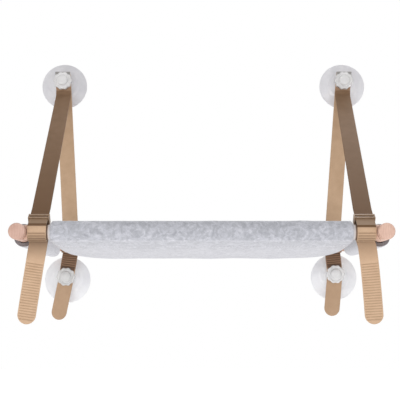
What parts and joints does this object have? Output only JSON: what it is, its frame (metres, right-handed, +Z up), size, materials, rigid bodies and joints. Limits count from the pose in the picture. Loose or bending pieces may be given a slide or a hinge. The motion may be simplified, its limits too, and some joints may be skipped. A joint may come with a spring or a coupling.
{
  "type": "cat window bed",
  "caption": "Window perch for a cat: a felt hammock on a round wooden frame, hung from suction cups by tan straps that wrap the cross rods.",
  "frame": {"origin": "on the window glass, midway between the side rails, at the level of the cross rods", "axes": "+X to the right seen from the room, +Y into the glass, +Z up"},
  "size_m": [0.5411, 0.354, 0.427],
  "materials": {
    "wood": "sanded light wood, satin",
    "felt": "pressed grey felt, mottled",
    "strap": "tan moulded strap with fine cross ribs toward its ends",
    "buckle_plastic": "matte brown moulding",
    "cup_vinyl": "clear soft vinyl, slightly milky",
    "knob_plastic": "translucent white moulding",
    "steel": "zinc plated",
    "brass": "turned"
  },
  "bodies": {
    "window_mounts": {"upper_left_suction_cup": "cup_vinyl", "upper_left_stud": "steel", "upper_right_suction_cup": "cup_vinyl", "upper_right_stud": "steel", "lower_left_suction_cup": "cup_vinyl", "lower_left_stud": "steel", "lower_right_suction_cup": "cup_vinyl", "lower_right_stud": "steel", "left_front_strap_leg": "strap", "left_rear_strap": "strap", "left_rear_buckle": "buckle_plastic", "right_front_strap_leg": "strap", "right_rear_strap": "strap", "right_rear_buckle": "buckle_plastic"},
    "bed_frame": {"felt_hammock": "felt", "front_cross_rod": "wood", "rear_cross_rod": "wood", "left_side_rail": "wood", "left_rail_felt_sleeve": "felt", "left_front_strap_loop": "strap", "left_front_buckle": "buckle_plastic", "front_left_bolt": "steel", "front_left_insert": "brass", "rear_left_bolt": "steel", "rear_left_insert": "brass", "right_side_rail": "wood", "right_rail_felt_sleeve": "felt", "right_front_strap_loop": "strap", "right_front_buckle": "buckle_plastic", "front_right_bolt": "steel", "front_right_insert": "brass", "rear_right_bolt": "steel", "rear_right_insert": "brass"},
    "left_strap_end": {"left_front_strap_tail": "strap"},
    "right_strap_end": {"right_front_strap_tail": "strap"},
    "upper_left_knob_body": {"upper_left_knob": "knob_plastic"},
    "upper_right_knob_body": {"upper_right_knob": "knob_plastic"},
    "lower_left_knob_body": {"lower_left_knob": "knob_plastic"},
    "lower_right_knob_body": {"lower_right_knob": "knob_plastic"}
  },
  "joints": [
    {"name": "bed_fold", "type": "hinge", "parent": "window_mounts", "child": "bed_frame", "pos_m": [0, -0.032, 0], "axis": [-1, 0, 0], "range_deg": [0, 70], "deforming": ["left_front_strap_leg", "right_front_strap_leg"]},
    {"name": "left_strap_end_hang", "type": "hinge", "parent": "bed_frame", "child": "left_strap_end", "pos_m": [-0.2165, -0.31485, 0.01449], "axis": [-1, 0, 0], "range_deg": [-24.5, 0]},
    {"name": "right_strap_end_hang", "type": "hinge", "parent": "bed_frame", "child": "right_strap_end", "pos_m": [0.2165, -0.31485, 0.01449], "axis": [-1, 0, 0], "range_deg": [-24.5, 0]},
    {"name": "upper_left_knob_turn", "type": "hinge", "parent": "window_mounts", "child": "upper_left_knob_body", "pos_m": [-0.2305, -0.0209, 0.273], "axis": [0, -1, 0], "range_deg": [0, 720]},
    {"name": "upper_right_knob_turn", "type": "hinge", "parent": "window_mounts", "child": "upper_right_knob_body", "pos_m": [0.2356, -0.0209, 0.273], "axis": [0, -1, 0], "range_deg": [0, 720]},
    {"name": "lower_left_knob_turn", "type": "hinge", "parent": "window_mounts", "child": "lower_left_knob_body", "pos_m": [-0.221, -0.0186, -0.051], "axis": [0, -1, 0], "range_deg": [0, 720]},
    {"name": "lower_right_knob_turn", "type": "hinge", "parent": "window_mounts", "child": "lower_right_knob_body", "pos_m": [0.2175, -0.0186, -0.047], "axis": [0, -1, 0], "range_deg": [0, 720]}
  ],
  "couplings": [
    {"joint": "left_strap_end_hang", "follows": "bed_fold", "ratio": -0.35},
    {"joint": "right_strap_end_hang", "follows": "bed_fold", "ratio": -0.35}
  ]
}
